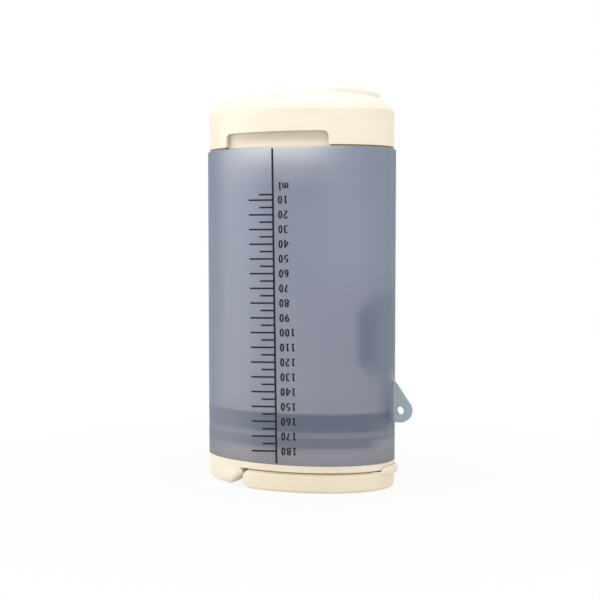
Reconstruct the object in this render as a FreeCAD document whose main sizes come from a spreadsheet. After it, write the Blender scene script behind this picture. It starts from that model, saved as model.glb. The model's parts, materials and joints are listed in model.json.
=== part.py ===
"""A small graduated urine bottle, in millimetres, as a FreeCAD document of separate pieces.

The bottle stands on its closed lid: Z points up, X runs along the oval's long axis with the strap
ear on the +X side, and the origin is where the tank's axis meets the surface it rests on.
From the bottom up it has a hinged lid, a collar with the mouth and its non-return valve, the oval
tank, and a base cap with an air valve. The base cap pulls out of the tank for cleaning.
"""
import FreeCAD, Part
import math
import os
from types import SimpleNamespace

import Sketcher

SIZES = {
    # Tank
    "tank_width": (68.0, "Long axis of the tank's oval at the base end"),
    "tank_depth": (45.0, "Short axis of the tank's oval at the base end"),
    "tank_length": (105.5, "Length of the tank from end to end"),
    "tank_wall": (2.1, "Wall of the tank"),
    "tank_draft": (0.12, "How far each side leans in towards the lid end"),
    "tank_edge": (0.9, "Rounding of the tank's rim at the base end"),
    # Strap ear on the tank
    "ear_thickness": (1.5, "Thickness of the strap ear"),
    "ear_radius": (4.0, "Radius of the ear's round end"),
    "ear_hole_radius": (1.35, "Radius of the strap hole"),
    "ear_reach": (2.8, "Strap hole from the side of the tank"),
    "ear_level": (17.3, "Strap hole above the tank's lid end"),
    "ear_root_level": (28.0, "Top of the ear's root above the tank's lid end"),
    # Window in the wall under the ear side, hollowed from within
    "window_width": (27.6, "Width of the window"),
    "window_height": (30.0, "Height of the window"),
    "window_corner": (10.0, "Corner radius of the window"),
    "window_level": (42.7, "Middle of the window above the tank's lid end"),
    "window_skin": (1.3, "Wall left at the window"),
    # Collar that closes the lid end of the tank
    "band_height": (2.2, "Height of the band between tank and lid"),
    "seam_gap": (0.5, "Gap between band and lid"),
    "skirt_height": (17.2, "How far the collar's skirt reaches into the tank"),
    "skirt_foot": (5.2, "Height of the bare foot of the skirt, below the seal"),
    "skirt_wall": (1.6, "Wall of the skirt behind the seal"),
    "seal_thickness": (1.0, "Thickness of the collar seal"),
    "seal_line_level": (9.9, "Groove in the collar seal above the tank's lid end"),
    "seal_line_width": (0.6, "Width of that groove"),
    "seal_line_depth": (0.4, "Depth of that groove"),
    "press_gap": (0.1, "Gap around a piece that is pushed home and stays"),
    # Mouth and non-return valve
    "mouth_offset": (11.5, "Mouth's centre from the tank's axis"),
    "mouth_radius": (13.0, "Radius of the mouth"),
    "socket_wall": (1.2, "Wall of the socket that holds the valve seat"),
    "socket_height": (2.7, "Height of that socket above the band"),
    "seat_step": (0.8, "How far the seat's bore stands inside the mouth"),
    "seat_wall": (2.3, "Wall of the valve seat"),
    "seat_height": (4.0, "Height of the valve seat"),
    "flap_overlap": (1.6, "How far the flap reaches over the seat's bore"),
    "flap_thickness": (1.4, "Thickness of the flap"),
    "flap_axis_reach": (1.8, "Flap's pin beyond the outside of the valve seat"),
    "flap_axis_rise": (1.0, "Flap's pin above the top of the valve seat"),
    "flap_pin_radius": (0.75, "Radius of the flap's pin"),
    "knuckle_wall": (0.9, "Wall of a knuckle or lug around its pin"),
    "flap_knuckle_width": (7.4, "Width of the flap's knuckle"),
    "flap_lug_width": (2.0, "Width of each lug that holds the flap's pin"),
    # Lid, its liner and its gasket
    "lid_height": (6.5, "Height of the lid"),
    "lid_inset": (0.25, "How far the lid's sides stand inside the collar's"),
    "lid_floor": (1.8, "Thickness of the lid's outer face"),
    "lid_wall": (1.4, "Wall of the lid beside the liner"),
    "lid_ledge": (0.8, "Ledge that the liner rests on"),
    "lid_edge": (1.2, "Rounding of the lid's outer edge"),
    "liner_thickness": (1.8, "Thickness of the liner"),
    "plug_height": (2.4, "How far the liner's ring reaches into the mouth"),
    "plug_gap": (1.0, "Gap between the liner's ring and the mouth"),
    "plug_wall": (1.5, "Wall of the liner's ring"),
    "gasket_width": (2.5, "Width of the lid gasket"),
    "gasket_sink": (0.9, "Depth of the groove that holds the gasket"),
    "rib_radius": (8.0, "Radius of the round rib under the liner"),
    "lip_radius": (10.2, "Radius of the thumb lip seen from above"),
    "lip_height": (3.2, "Height of the thumb lip"),
    "lip_bottom": (4.8, "Underside of the thumb lip above the resting face"),
    "lip_proud": (1.5, "How far the thumb lip stands out of the collar"),
    "lip_edge": (1.4, "Rounding of the thumb lip's upper and lower edges"),
    # Hinge between collar and lid
    "hinge_offset": (9.6, "Hinge pin from the tank's axis, towards the narrow side"),
    "hinge_pin_radius": (1.0, "Radius of the hinge pin"),
    "hinge_pin_half": (18.8, "Reach of the hinge pin to each side"),
    "hinge_arm_half": (15.0, "Half width of the hinge block's arm"),
    "hinge_arm_radius": (2.4, "Radius of the arm around the pin"),
    "hinge_slot_reach": (3.4, "How far the lid's slot reaches past the pin"),
    "block_face_offset": (10.8, "Top of the block's slanted face from the tank's axis"),
    "block_slant": (50.0, "Slant of that face in degrees"),
    "block_lift": (0.35, "Hinge block above the resting face"),
    "block_edge": (2.6, "Rounding of the block's lower edge"),
    "block_corner": (1.2, "Rounding of the slanted face's own edges"),
    # Screws that hold the hinge block
    "screw_offset": (22.0, "Screws from the tank's axis"),
    "screw_spread": (7.5, "Each screw from the middle plane"),
    "screw_radius": (1.1, "Radius of a screw's thread"),
    "screw_length": (8.0, "Length of a screw under its head"),
    "screw_head_radius": (2.0, "Radius of a screw's head"),
    "screw_head_height": (1.6, "Height of a screw's head"),
    "screw_drive": (1.5, "Width of the hexagon in a screw's head"),
    "screw_sink": (2.2, "Depth of the counterbore above the block's lower face"),
    "boss_wall": (1.5, "Wall of a screw boss"),
    # Base cap
    "cap_inset": (0.65, "How far the cap's sides stand inside the tank's"),
    "cap_gap": (0.5, "Gap between the tank's rim and the cap's skirt"),
    "cap_skirt": (11.8, "Height of the cap's side up to its shoulder"),
    "cap_wall": (1.7, "Wall of the cap's side"),
    "roof_wall": (1.8, "Thickness of the cap's dome"),
    "dome_rise": (6.0, "Rise of the dome's flat-topped part"),
    "dome_crown": (0.8, "Extra rise of the dome's middle"),
    "dome_power": (9.0, "How square the dome's shoulder is"),
    "notch_offset": (-0.95, "Middle of the finger notch from the tank's axis, along the long axis"),
    "notch_width": (37.7, "Width of the finger notch in the cap's skirt"),
    "notch_height": (4.5, "Height of the finger notch"),
    "notch_corner": (1.8, "Corner radius of the finger notch"),
    # Base plug
    "plug_depth": (13.8, "How far the base plug reaches into the tank"),
    "plug_clearance": (0.35, "Gap between the base plug and the tank"),
    "neck_wall": (1.6, "Wall of the base plug"),
    "neck_rise": (8.0, "Base plug's wall above the tank's rim"),
    "rim_seat": (0.7, "How far the plug's flange rests on the tank's rim"),
    "deck_thickness": (1.6, "Thickness of the base plug's deck"),
    "snap_level": (6.0, "Snap rib above the tank's rim"),
    "snap_height": (1.0, "Height of the snap rib"),
    "snap_depth": (0.4, "Depth of the snap rib"),
    "ring_level": (5.6, "Lower side of the base seal above the deck"),
    "ring_height": (2.2, "Height of the base seal"),
    "ring_depth": (1.2, "Depth of the base seal's groove"),
    "ring_clearance": (0.06, "Running fit of the base seal in the tank"),
    # Air valve
    "button_inset": (15.0, "Valve stem from the side of the tank where the ear is"),
    "button_lead": (1.0, "Button's middle from its stem, away from the ear"),
    "button_length": (21.0, "Length of the button"),
    "button_width": (15.0, "Width of the button"),
    "button_rise": (1.3, "How far the button stands proud of the dome"),
    "button_gap": (0.35, "Gap around the button"),
    "button_skirt": (1.7, "How far the button's rim reaches below the cap's shoulder"),
    "button_wall": (1.3, "Wall of the button and thickness of its flange"),
    "flange_reach": (1.2, "How far the button's flange reaches under the cap"),
    "button_travel": (1.2, "Travel of the button"),
    "stem_radius": (1.2, "Radius of the valve stem"),
    "stem_socket_wall": (1.8, "Wall of the button's stem socket"),
    "stem_socket_depth": (5.0, "Length of the stem in its socket"),
    "vent_radius": (2.2, "Radius of the air hole in the deck"),
    "valve_radius": (3.8, "Radius of the valve disc"),
    "valve_thickness": (1.2, "Thickness of the valve disc"),
    "washer_radius": (3.6, "Outer radius of the vent seal"),
    "washer_thickness": (0.7, "Thickness of the vent seal"),
    "spring_radius": (2.6, "Mean radius of the vent spring"),
    "spring_wire": (0.25, "Radius of the vent spring's wire"),
    "spring_turns": (7.0, "Turns of the vent spring"),
    "spring_cup_height": (1.6, "Height of the ring that centres the spring"),
}

# Running clearance of a pin in the piece that turns on it, and the gap beside moving faces.
PIN_FIT = 0.05
SIDE_GAP = 0.3
# Stations of the dome's loft, as shares of its half widths.
DOME_STATIONS = (1.0, 0.975, 0.93, 0.86, 0.76, 0.6, 0.35)
# How far a cutting tool runs past the face that it opens.
OVERSHOOT = 5.0
AXIS_Y = FreeCAD.Vector(0, 1, 0)
AXIS_Z = FreeCAD.Vector(0, 0, 1)

doc = FreeCAD.newDocument("UrineBottle")
sheet = doc.addObject("Spreadsheet::Sheet", "Sizes")
for row, (alias, (number, meaning)) in enumerate(SIZES.items(), start=1):
    sheet.set(f"A{row}", meaning)
    sheet.set(f"B{row}", str(number))
    sheet.setAlias(f"B{row}", alias)
doc.recompute()


class Formula:
    """A length together with the spreadsheet formula that gives it."""

    def __init__(self, text, value):
        self.text = text
        self.value = value

    def __float__(self):
        return self.value

    def __neg__(self):
        return Formula(f"(0 - {self.text})", -self.value)

    def __add__(self, other):
        other = formula(other)
        return Formula(f"({self.text} + {other.text})", self.value + other.value)

    def __sub__(self, other):
        other = formula(other)
        return Formula(f"({self.text} - {other.text})", self.value - other.value)

    def __mul__(self, other):
        other = formula(other)
        return Formula(f"({self.text} * {other.text})", self.value * other.value)

    def __truediv__(self, other):
        other = formula(other)
        return Formula(f"({self.text} / {other.text})", self.value / other.value)

    def __pow__(self, other):
        other = formula(other)
        return Formula(f"({self.text} ^ {other.text})", self.value ** other.value)

    def __radd__(self, other):
        return formula(other) + self

    def __rsub__(self, other):
        return formula(other) - self

    def __rmul__(self, other):
        return formula(other) * self

    def __rpow__(self, other):
        return formula(other) ** self


def formula(item):
    """Give a plain number as a formula, and leave a formula as it is."""
    if isinstance(item, Formula):
        return item
    return Formula(f"({float(item)})", float(item))


def sine(angle):
    """Sine of a formula in degrees."""
    return Formula(f"sin({angle.text} * 1 deg)", math.sin(math.radians(angle.value)))


def cosine(angle):
    """Cosine of a formula in degrees."""
    return Formula(f"cos({angle.text} * 1 deg)", math.cos(math.radians(angle.value)))


s = SimpleNamespace(**{alias: Formula(f"Sizes.{alias}", number) for alias, (number, _) in SIZES.items()})


# ---------------------------------------------------------------- building blocks

def bind(item, **sizes):
    """Bind properties of an object to formulas."""
    for name, size in sizes.items():
        item.setExpression(name, formula(size).text)
    return item


def place(item, at, turn=None):
    """Put an object at a point given as formulas, turned by an (axis, degrees) pair."""
    if turn:
        item.Placement = FreeCAD.Placement(FreeCAD.Vector(), FreeCAD.Rotation(*turn))
    for letter, size in zip("xyz", at):
        item.setExpression(f"Placement.Base.{letter}", formula(size).text)
    return item


def primitive(kind, name, at, turn=None, **sizes):
    """A Part primitive whose sizes and place are bound to formulas."""
    return place(bind(doc.addObject(f"Part::{kind}", name), **sizes), at, turn)


def block(name, low, high):
    """An upright box between two corners."""
    spans = [formula(b) - a for a, b in zip(low, high)]
    return primitive("Box", name, low, Length=spans[0], Width=spans[1], Height=spans[2])


def rod(name, x, z, radius, y_from, y_to):
    """A cylinder that lies along Y."""
    turn = (FreeCAD.Vector(1, 0, 0), -90)
    return primitive("Cylinder", name, (x, y_from, z), turn, Radius=radius, Height=formula(y_to) - y_from)


def post(name, x, y, radius, bottom, top):
    """An upright cylinder."""
    return primitive("Cylinder", name, (x, y, bottom), Radius=radius, Height=formula(top) - bottom)


def oval(name, width, depth, level, seam=180):
    """A level ellipse around the tank's axis, whose seam lies on the hinge side unless told."""
    turn = (AXIS_Z, seam)
    return primitive("Ellipse", name, (0, 0, level), turn, MajorRadius=width / 2, MinorRadius=depth / 2)


def oval_prism(name, width, depth, bottom, top, seam=180):
    """An upright solid with an elliptical outline."""
    prism = doc.addObject("Part::Extrusion", name)
    prism.Base = oval(f"{name}_outline", width, depth, bottom, seam)
    prism.DirMode = "Custom"
    prism.Dir = AXIS_Z
    prism.Solid = True
    return bind(prism, LengthFwd=formula(top) - bottom)


def oval_loft(name, sections, ruled=False):
    """A solid through level ellipses, each given as (width, depth, level)."""
    loft = doc.addObject("Part::Loft", name)
    loft.Sections = [oval(f"{name}_section_{n}", *size) for n, size in enumerate(sections)]
    loft.Solid = True
    loft.Ruled = ruled
    return loft


def fuse(name, *parts):
    """One solid from several that meet."""
    item = doc.addObject("Part::MultiFuse", name)
    item.Shapes = list(parts)
    item.Refine = True
    return item


def common(name, *parts):
    """What several solids share."""
    item = doc.addObject("Part::MultiCommon", name)
    item.Shapes = list(parts)
    item.Refine = True
    return item


def cut(name, base, *tools):
    """A solid less one or more tools."""
    item = doc.addObject("Part::Cut", name)
    item.Base = base
    item.Tool = tools[0] if len(tools) == 1 else fuse(f"{name}_tools", *tools)
    item.Refine = True
    return item


def mirrored(name, source):
    """A copy of a solid on the other side of the middle plane."""
    item = doc.addObject("Part::Mirroring", name)
    item.Source = source
    item.Normal = AXIS_Y
    return item


def round_edges(name, base, radius, wanted):
    """Round the edges of a solid that a test picks."""
    doc.recompute()
    edges = [n for n, edge in enumerate(base.Shape.Edges, start=1) if wanted(edge)]
    if not edges:
        raise ValueError(f"{name}: no edge to round")
    item = doc.addObject("Part::Fillet", name)
    item.Base = base
    item.Edges = [(n, float(radius), float(radius)) for n in edges]
    return item


def at_level(level):
    """A test for curved edges that lie wholly at one height."""
    def test(edge):
        box = edge.BoundBox
        level_edge = abs(box.ZMin - float(level)) < 0.01 and abs(box.ZMax - float(level)) < 0.01
        return level_edge and min(box.XLength, box.YLength) > 0.01
    return test


def along(letter):
    """A test for straight edges along one axis."""
    def test(edge):
        box = edge.BoundBox
        spans = {"X": box.XLength, "Y": box.YLength, "Z": box.ZLength}
        longest = spans.pop(letter)
        return longest > 0.01 and max(spans.values()) < 0.001
    return test


def rounded_bar(name, low, high, radius, letter):
    """A box whose edges along one axis are rounded."""
    return round_edges(name, block(f"{name}_block", low, high), radius, along(letter))


def new_body(name, at=(0, 0, 0)):
    """A PartDesign body at a point given as formulas."""
    return place(doc.addObject("PartDesign::Body", name), at)


def sketch_on(body, name, role, offset=0):
    """A sketch on one of a body's own planes, moved along the plane's normal."""
    sketch = body.newObject("Sketcher::SketchObject", name)
    support = next(item for item in body.Origin.OriginFeatures if item.Role == role)
    sketch.AttachmentSupport = [(support, "")]
    sketch.MapMode = "FlatFace"
    sketch.setExpression("AttachmentOffset.Base.z", formula(offset).text)
    return sketch


def hold(sketch, kind, item, point, size):
    """Hold one point of a sketch at a distance from its origin."""
    size = formula(size)
    if size.value == 0:
        axis = -2 if kind == "DistanceX" else -1
        sketch.addConstraint(Sketcher.Constraint("PointOnObject", item, point, axis))
        return
    number = sketch.addConstraint(Sketcher.Constraint(kind, -1, 1, item, point, size.value))
    sketch.setExpression(f"Constraints[{number}]", size.text)


def draw_outline(sketch, corners):
    """A closed outline with straight sides, whose corners are pairs of formulas."""
    points = [FreeCAD.Vector(float(x), float(y), 0) for x, y in corners]
    count = len(points)
    first = sketch.GeometryCount
    sketch.addGeometry([Part.LineSegment(points[n], points[(n + 1) % count]) for n in range(count)], False)
    for n in range(count):
        joint = ("Coincident", first + n, 2, first + (n + 1) % count, 1)
        sketch.addConstraint(Sketcher.Constraint(*joint))
    for n, (x, y) in enumerate(corners):
        hold(sketch, "DistanceX", first + n, 1, x)
        hold(sketch, "DistanceY", first + n, 1, y)


def draw_circle(sketch, x, y, radius):
    """A circle whose centre and radius are formulas."""
    radius = formula(radius)
    centre = FreeCAD.Vector(float(x), float(y), 0)
    item = sketch.addGeometry(Part.Circle(centre, FreeCAD.Vector(0, 0, 1), radius.value), False)
    hold(sketch, "DistanceX", item, 3, x)
    hold(sketch, "DistanceY", item, 3, y)
    number = sketch.addConstraint(Sketcher.Constraint("Radius", item, radius.value))
    sketch.setExpression(f"Constraints[{number}]", radius.text)


def turned(body, name, corners):
    """A solid of revolution about the body's Z axis, from an outline in radius and height."""
    sketch = sketch_on(body, f"{name}_profile", "XZ_Plane")
    draw_outline(sketch, corners)
    feature = body.newObject("PartDesign::Revolution", name)
    feature.Profile = sketch
    feature.ReferenceAxis = (sketch, ["V_Axis"])
    feature.Angle = 360
    return feature


def padded(body, name, sketch, length):
    """A pad of a sketch along its plane's normal."""
    feature = body.newObject("PartDesign::Pad", name)
    feature.Profile = sketch
    return bind(feature, Length=length)


def pocketed(body, name, sketch, length, reverse=False):
    """A pocket of a sketch, checked to remove something."""
    doc.recompute()
    before = body.Shape.Volume
    feature = body.newObject("PartDesign::Pocket", name)
    feature.Profile = sketch
    feature.Reversed = reverse
    bind(feature, Length=length)
    doc.recompute()
    if body.Shape.Volume >= before:
        raise ValueError(f"{name}: the pocket removes nothing")
    return feature


# ---------------------------------------------------------------- shared levels and outlines

TANK_BOTTOM = s.lid_height + s.seam_gap + s.band_height
TANK_TOP = TANK_BOTTOM + s.tank_length
BAND_BOTTOM = s.lid_height + s.seam_gap
CAP_BOTTOM = TANK_TOP + s.cap_gap
CAP_SHOULDER = CAP_BOTTOM + s.cap_skirt

COLLAR = (s.tank_width - s.tank_draft * 2, s.tank_depth - s.tank_draft * 2)


def inside(outline, gap):
    """An outline moved inwards by a gap all round."""
    return tuple(size - formula(gap) * 2 for size in outline)


TANK = (s.tank_width, s.tank_depth)
TANK_BORE_TOP = inside(TANK, s.tank_wall)
TANK_BORE_BOTTOM = inside(COLLAR, s.tank_wall)
LID = inside(COLLAR, s.lid_inset)
CAP = inside(TANK, s.cap_inset)
PLUG = inside(TANK_BORE_TOP, s.plug_clearance)

HINGE_X = -s.hinge_offset
HINGE_Z = s.lid_height / 2
SLOT_X = HINGE_X + s.hinge_slot_reach
SCREW_SEAT = s.block_lift + s.screw_sink
SCREW_TIP = SCREW_SEAT + s.screw_length

SEAT_BORE = s.mouth_radius - s.seat_step
SEAT_RADIUS = SEAT_BORE + s.seat_wall
SOCKET_BORE = SEAT_RADIUS + s.press_gap
SEAT_TOP = TANK_BOTTOM + s.seat_height
FLAP_X = s.mouth_offset - SEAT_RADIUS - s.flap_axis_reach
FLAP_Z = SEAT_TOP + s.flap_axis_rise
KNUCKLE_RADIUS = s.flap_pin_radius + PIN_FIT + s.knuckle_wall

LINER_BOTTOM = s.lid_height - s.liner_thickness
PLUG_RING_RADIUS = s.mouth_radius - s.plug_gap
GASKET_BORE = PLUG_RING_RADIUS + s.seat_step / 2

DECK_BOTTOM = TANK_TOP - s.plug_depth
DECK_TOP = DECK_BOTTOM + s.deck_thickness
VALVE_TOP = DECK_BOTTOM - s.washer_thickness
BUTTON_BOTTOM = CAP_SHOULDER - s.button_skirt
BUTTON_X = s.tank_width / 2 - s.button_inset
NOTCH_LEFT = s.notch_offset - s.notch_width / 2
NOTCH_RIGHT = s.notch_offset + s.notch_width / 2


# ---------------------------------------------------------------- tank

def make_ear():
    """The strap ear: a plate with a round end whose upper edge runs up to the tank's side."""
    side = float(s.tank_width) / 2
    bottom = float(TANK_BOTTOM)
    centre = FreeCAD.Vector(side + float(s.ear_reach), 0, bottom + float(s.ear_level))
    radius = float(s.ear_radius)
    root = FreeCAD.Vector(side, 0, bottom + float(s.ear_root_level))
    inner = side - float(s.tank_draft) - float(s.tank_wall) / 2
    reach = root - centre
    bearing = math.atan2(reach.z, reach.x) - math.acos(radius / reach.Length)
    touch = centre + FreeCAD.Vector(math.cos(bearing), 0, math.sin(bearing)) * radius
    tip = centre + FreeCAD.Vector(radius, 0, 0)
    foot = centre - FreeCAD.Vector(0, 0, radius)
    corners = [touch, root, FreeCAD.Vector(inner, 0, root.z), FreeCAD.Vector(inner, 0, foot.z), foot]
    edges = [Part.LineSegment(a, b).toShape() for a, b in zip(corners, corners[1:])]
    edges.append(Part.Arc(foot, tip, touch).toShape())
    thickness = float(s.ear_thickness)
    plate = Part.Face(Part.Wire(edges)).extrude(AXIS_Y * thickness)
    item = doc.addObject("Part::Feature", "ear_plate")
    item.Shape = plate
    item.Placement = FreeCAD.Placement(AXIS_Y * (-thickness / 2), FreeCAD.Rotation())
    return item


def make_tank():
    """Oval tube with a rounded rim, a strap ear and a thinner window in the wall on the ear's side."""
    outer = oval_loft("tank_outer", [(*COLLAR, TANK_BOTTOM), (*TANK, TANK_TOP)], ruled=True)
    outer = round_edges("tank_rounded", outer, s.tank_edge, at_level(TANK_TOP))
    bore = oval_loft("tank_bore", [(*TANK_BORE_BOTTOM, TANK_BOTTOM), (*TANK_BORE_TOP, TANK_TOP)], ruled=True)
    body = fuse("tank_with_ear", outer, make_ear())
    middle = TANK_BOTTOM + s.window_level
    low = middle - s.window_height / 2
    high = middle + s.window_height / 2
    half = s.window_width / 2
    frame = rounded_bar("window_frame", (0, -half, low), (s.tank_width / 2, half, high), s.window_corner, "X")
    floor = oval_prism("window_floor", *inside(TANK, s.window_skin), low - 1, high + 1)
    window = common("window", frame, floor)
    hole_x = s.tank_width / 2 + s.ear_reach
    hole = rod("ear_hole", hole_x, TANK_BOTTOM + s.ear_level, s.ear_hole_radius,
               -s.ear_thickness, s.ear_thickness)
    return cut("tank", body, bore, window, hole)


# ---------------------------------------------------------------- collar, seal and hinge block

def boss_places():
    """Where the hinge block's screws go, on each side of the middle plane."""
    return [(-s.screw_offset, s.screw_spread), (-s.screw_offset, -s.screw_spread)]


def make_collar():
    """Band, skirt and mouth of the lid end in one moulding."""
    foot_outline = inside(TANK_BORE_BOTTOM, s.press_gap)
    core_outline = inside(foot_outline, s.seal_thickness)
    skirt_top = TANK_BOTTOM + s.skirt_height
    band = oval_prism("collar_band", *COLLAR, BAND_BOTTOM, TANK_BOTTOM)
    foot = oval_prism("collar_foot", *foot_outline, TANK_BOTTOM, TANK_BOTTOM + s.skirt_foot)
    core = oval_prism("collar_core", *core_outline, TANK_BOTTOM, skirt_top)
    bore = oval_prism("collar_bore", *inside(core_outline, s.skirt_wall), TANK_BOTTOM, skirt_top + 1)
    shell = fuse("collar_shell", band, cut("collar_skirt", fuse("collar_skirt_outside", foot, core), bore))
    socket = post("collar_socket", s.mouth_offset, 0, SOCKET_BORE + s.socket_wall,
                  TANK_BOTTOM, TANK_BOTTOM + s.socket_height)
    boss_top = SCREW_TIP + SIDE_GAP + s.boss_wall
    bosses = [post(f"collar_boss_{n}", x, y, s.screw_radius + s.boss_wall, TANK_BOTTOM, boss_top)
              for n, (x, y) in enumerate(boss_places())]
    body = fuse("collar_body", shell, socket, *bosses)
    mouth = post("collar_mouth", s.mouth_offset, 0, s.mouth_radius, BAND_BOTTOM - 1, TANK_BOTTOM + 1)
    socket_bore = post("collar_socket_bore", s.mouth_offset, 0, SOCKET_BORE, TANK_BOTTOM, skirt_top)
    threads = [post(f"collar_thread_{n}", x, y, s.screw_radius, BAND_BOTTOM - 1, boss_top - s.boss_wall)
               for n, (x, y) in enumerate(boss_places())]
    return cut("mouth_collar", body, mouth, socket_bore, *threads)


def make_collar_seal():
    """Dark elastic sleeve around the skirt, with one fine groove."""
    outline = inside(TANK_BORE_BOTTOM, s.press_gap)
    bottom = TANK_BOTTOM + s.skirt_foot
    top = TANK_BOTTOM + s.skirt_height
    line = TANK_BOTTOM + s.seal_line_level
    half = s.seal_line_width / 2
    sleeve = oval_prism("seal_sleeve", *outline, bottom, top)
    bore = oval_prism("seal_bore", *inside(outline, s.seal_thickness), bottom - 1, top + 1)
    groove = cut("seal_groove", oval_prism("seal_groove_outside", *inside(outline, -1), line - half, line + half),
                 oval_prism("seal_groove_floor", *inside(outline, s.seal_line_depth), line - 1, line + 1))
    return cut("collar_seal", sleeve, bore, groove)


def make_hinge_block():
    """Corner of the oval beside the lid, with a slanted face and an arm that holds the pin."""
    blank = oval_prism("block_blank", *COLLAR, s.block_lift, BAND_BOTTOM, seam=0)
    blank = round_edges("block_rounded", blank, s.block_edge, at_level(s.block_lift))
    reach = s.tank_width
    across = cosine(s.block_slant)
    down = sine(s.block_slant)
    turn = (AXIS_Y, float(s.block_slant))
    face_x = -s.block_face_offset
    slant = primitive("Box", "block_slant", (face_x - reach * down, -reach, BAND_BOTTOM - reach * across),
                      turn, Length=reach, Width=reach * 2, Height=reach * 2)
    half = s.hinge_arm_half
    radius = s.hinge_arm_radius
    face_gap = (HINGE_X - face_x) * across + (BAND_BOTTOM - HINGE_Z) * down
    length = face_gap + radius
    arm = primitive("Box", "block_arm",
                    (HINGE_X - length * across - radius * down, -half, HINGE_Z + length * down - radius * across),
                    turn, Length=length, Width=half * 2, Height=radius * 2)
    for item in (slant, arm):
        item.setExpression("Placement.Rotation.Angle", s.block_slant.text)
    eye = rod("block_eye", HINGE_X, HINGE_Z, radius, -half, half)
    top = FreeCAD.Vector(float(face_x), 0, float(BAND_BOTTOM))
    normal = FreeCAD.Vector(float(across), 0, -float(down))
    corner = round_edges("block_softened", cut("block_corner", blank, slant), s.block_corner,
                         lambda edge: all(abs((point - top).dot(normal)) < 0.01 for point in edge.discretize(3)))
    body = fuse("block_body", corner, arm, eye)
    above = block("block_above", (-reach, -reach, BAND_BOTTOM), (reach, reach, TANK_TOP))
    pin = rod("block_pin_hole", HINGE_X, HINGE_Z, s.hinge_pin_radius, -half - 1, half + 1)
    tools = [above, pin]
    for n, (x, y) in enumerate(boss_places()):
        tools.append(post(f"block_counterbore_{n}", x, y, s.screw_head_radius + s.press_gap, 0, SCREW_SEAT))
        tools.append(post(f"block_clearance_{n}", x, y, s.screw_radius + s.press_gap, 0, TANK_BOTTOM))
    return cut("hinge_block", body, *tools)


def make_screws():
    """Two pan head screws with a hexagon socket, put in from below."""
    body = new_body("block_screw", (-s.screw_offset, s.screw_spread, SCREW_SEAT))
    turned(body, "screw_shape", [(0, -s.screw_head_height), (s.screw_head_radius, -s.screw_head_height),
                                 (s.screw_head_radius, 0), (s.screw_radius, 0),
                                 (s.screw_radius, s.screw_length - s.screw_radius), (0, s.screw_length)])
    sketch = sketch_on(body, "screw_socket_outline", "XY_Plane", -s.screw_head_height)
    corner = s.screw_drive / math.sqrt(3)
    spots = [(corner * math.cos(math.radians(60 * n + 30)), corner * math.sin(math.radians(60 * n + 30)))
             for n in range(6)]
    draw_outline(sketch, spots)
    pocketed(body, "screw_socket", sketch, s.screw_head_height / 2, reverse=True)
    pair = doc.addObject("Part::Compound", "hinge_block_screws")
    pair.Links = [body, mirrored("block_screw_mirrored", body)]
    return pair


def make_hinge_pin():
    """Steel pin, held in the block's arm, on which the lid turns."""
    start = -s.hinge_pin_half
    body = new_body("hinge_pin", (HINGE_X, 0, HINGE_Z))
    sketch = sketch_on(body, "hinge_pin_outline", "XZ_Plane", start)
    draw_circle(sketch, 0, 0, s.hinge_pin_radius)
    padded(body, "hinge_pin_pad", sketch, s.hinge_pin_half * 2)
    return body


# ---------------------------------------------------------------- lid

def make_lid():
    """Shallow oval tray with a rounded hinge end, two hinge ears and a thumb lip."""
    reach = s.tank_width
    top = s.lid_height + 1
    blank = oval_prism("lid_blank", *LID, 0, s.lid_height)
    beyond = cut("lid_beyond_hinge", block("lid_beyond_block", (-reach, -reach, -1), (HINGE_X, reach, top)),
                 rod("lid_hinge_end", HINGE_X, HINGE_Z, s.lid_height / 2, -reach - 1, reach + 1))
    plate = round_edges("lid_plate", cut("lid_corner_cut", blank, beyond), s.lid_edge, at_level(0))
    slot_half = s.hinge_arm_half + SIDE_GAP
    slot = block("lid_slot", (HINGE_X - s.lid_height, -slot_half, -1), (SLOT_X, slot_half, top))
    seat_cut = common("lid_seat_cut", oval_prism("lid_seat_oval", *inside(LID, s.lid_wall), LINER_BOTTOM, top),
                      block("lid_seat_limit", (SLOT_X + s.lid_wall, -reach, 0), (reach, reach, top)))
    ledge = s.lid_wall + s.lid_ledge
    tray_cut = common("lid_tray_cut", oval_prism("lid_tray_oval", *inside(LID, ledge), s.lid_floor, top),
                      block("lid_tray_limit", (SLOT_X + ledge, -reach, 0), (reach, reach, top)))
    hole = rod("lid_pin_hole", HINGE_X, HINGE_Z, s.hinge_pin_radius + PIN_FIT,
               -s.hinge_pin_half - SIDE_GAP, reach)
    tray = cut("lid_tray", plate, slot, seat_cut, tray_cut, hole)
    rib = cut("lid_rib", post("lid_rib_outside", s.mouth_offset, 0, s.rib_radius + s.lid_wall / 2,
                              s.lid_floor - 1, LINER_BOTTOM),
              post("lid_rib_bore", s.mouth_offset, 0, s.rib_radius - s.lid_wall / 2, 0, LINER_BOTTOM))
    return fuse("lid", tray, rib, make_lip())


def make_lip():
    """Round bead at the end of the lid, which stands proud and overlaps the collar's band."""
    top = s.lip_bottom + s.lip_height
    middle = COLLAR[0] / 2 + s.lip_proud - s.lip_radius
    disc = post("lip_disc", middle, 0, s.lip_radius, s.lip_bottom, top)
    below = round_edges("lip_rounded_below", disc, s.lip_edge, at_level(s.lip_bottom))
    bead = round_edges("lip_bead", below, s.lip_edge, at_level(top))
    return cut("lip", bead,
               oval_prism("lip_band_gap", *inside(COLLAR, -SIDE_GAP), s.lid_height, TANK_BOTTOM + 1),
               oval_prism("lip_inside", *inside(LID, s.lid_wall / 2), 0, TANK_BOTTOM + 1))


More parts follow.
